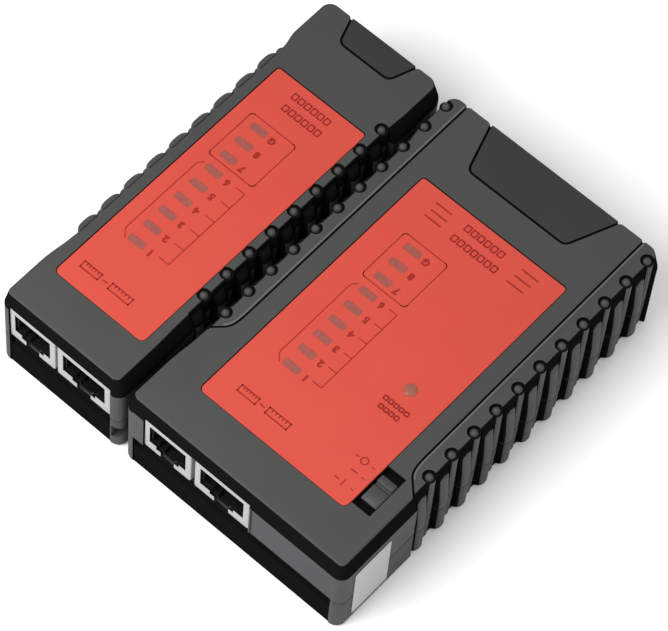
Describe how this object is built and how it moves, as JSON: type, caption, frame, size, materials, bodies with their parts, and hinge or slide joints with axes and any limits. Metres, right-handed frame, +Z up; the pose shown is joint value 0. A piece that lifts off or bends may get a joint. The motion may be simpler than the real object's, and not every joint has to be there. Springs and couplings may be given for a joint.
{
  "type": "network cable tester",
  "caption": "Hand-held network cable tester: a wide main unit and a narrow detachable unit with ribbed sides, red faceplates, LED rows, modular jacks and a slide switch.",
  "frame": {"origin": "centre of the footprint of both units side by side, on the surface they rest on", "axes": "+Z up; +Y away from the jack end; +X towards the main unit's outer side"},
  "size_m": [0.1032, 0.1102, 0.0284],
  "materials": {
    "case_plastic": "fine-textured moulded dark grey",
    "label_film": "red polycarbonate film with a satin print",
    "jack_shield": "nickel-plated, satin",
    "jack_plastic": "black moulded",
    "contact_gold": "gold-plated spring wire",
    "led_lens": "diffuse tinted lens, unlit",
    "circuit_board": "green solder mask",
    "screw_steel": "zinc-plated",
    "battery_jacket": "printed jacket, blank",
    "snap_plastic": "black moulded",
    "chip_plastic": "black epoxy",
    "lead_red": "insulated wire",
    "lead_black": "insulated wire",
    "seal_foil": "blank silver-white seal",
    "switch_metal": "plated can",
    "knob_plastic": "black moulded"
  },
  "bodies": {
    "master": {"battery": "battery_jacket", "battery_snap": "snap_plastic", "controller_chip": "chip_plastic", "lead_negative": "lead_black", "lead_positive": "lead_red", "master_bottom_shell": "case_plastic", "master_circuit_board": "circuit_board", "master_label": "label_film", "master_led_1": "led_lens", "master_led_2": "led_lens", "master_led_3": "led_lens", "master_led_4": "led_lens", "master_led_5": "led_lens", "master_led_6": "led_lens", "master_led_7": "led_lens", "master_led_8": "led_lens", "master_led_g": "led_lens", "master_power_led": "led_lens", "master_rj11_contacts": "contact_gold", "master_rj11_insert": "jack_plastic", "master_rj11_shield": "jack_shield", "master_rj45_contacts": "contact_gold", "master_rj45_insert": "jack_plastic", "master_rj45_shield": "jack_shield", "master_screw_1": "screw_steel", "master_screw_2": "screw_steel", "master_screw_3": "screw_steel", "master_screw_4": "screw_steel", "master_top_shell": "case_plastic", "seal_sticker": "seal_foil", "switch_body": "switch_metal"},
    "remote": {"remote_bottom_shell": "case_plastic", "remote_circuit_board": "circuit_board", "remote_label": "label_film", "remote_led_1": "led_lens", "remote_led_2": "led_lens", "remote_led_3": "led_lens", "remote_led_4": "led_lens", "remote_led_5": "led_lens", "remote_led_6": "led_lens", "remote_led_7": "led_lens", "remote_led_8": "led_lens", "remote_led_g": "led_lens", "remote_rj11_contacts": "contact_gold", "remote_rj11_insert": "jack_plastic", "remote_rj11_shield": "jack_shield", "remote_rj45_contacts": "contact_gold", "remote_rj45_insert": "jack_plastic", "remote_rj45_shield": "jack_shield", "remote_screw_1": "screw_steel", "remote_screw_2": "screw_steel", "remote_top_shell": "case_plastic"},
    "knob": {"switch_knob": "knob_plastic"},
    "door": {"battery_door": "case_plastic"}
  },
  "joints": [
    {"name": "power_switch", "type": "slide", "parent": "master", "child": "knob", "axis": [0, 1, 0], "range_m": [-0.002, 0.002]},
    {"name": "remote_slide", "type": "slide", "parent": "master", "child": "remote", "axis": [0, 1, 0], "range_m": [0, 0.112]},
    {"name": "battery_door_slide", "type": "slide", "parent": "master", "child": "door", "axis": [0, 1, 0], "range_m": [0, 0.036]}
  ]
}
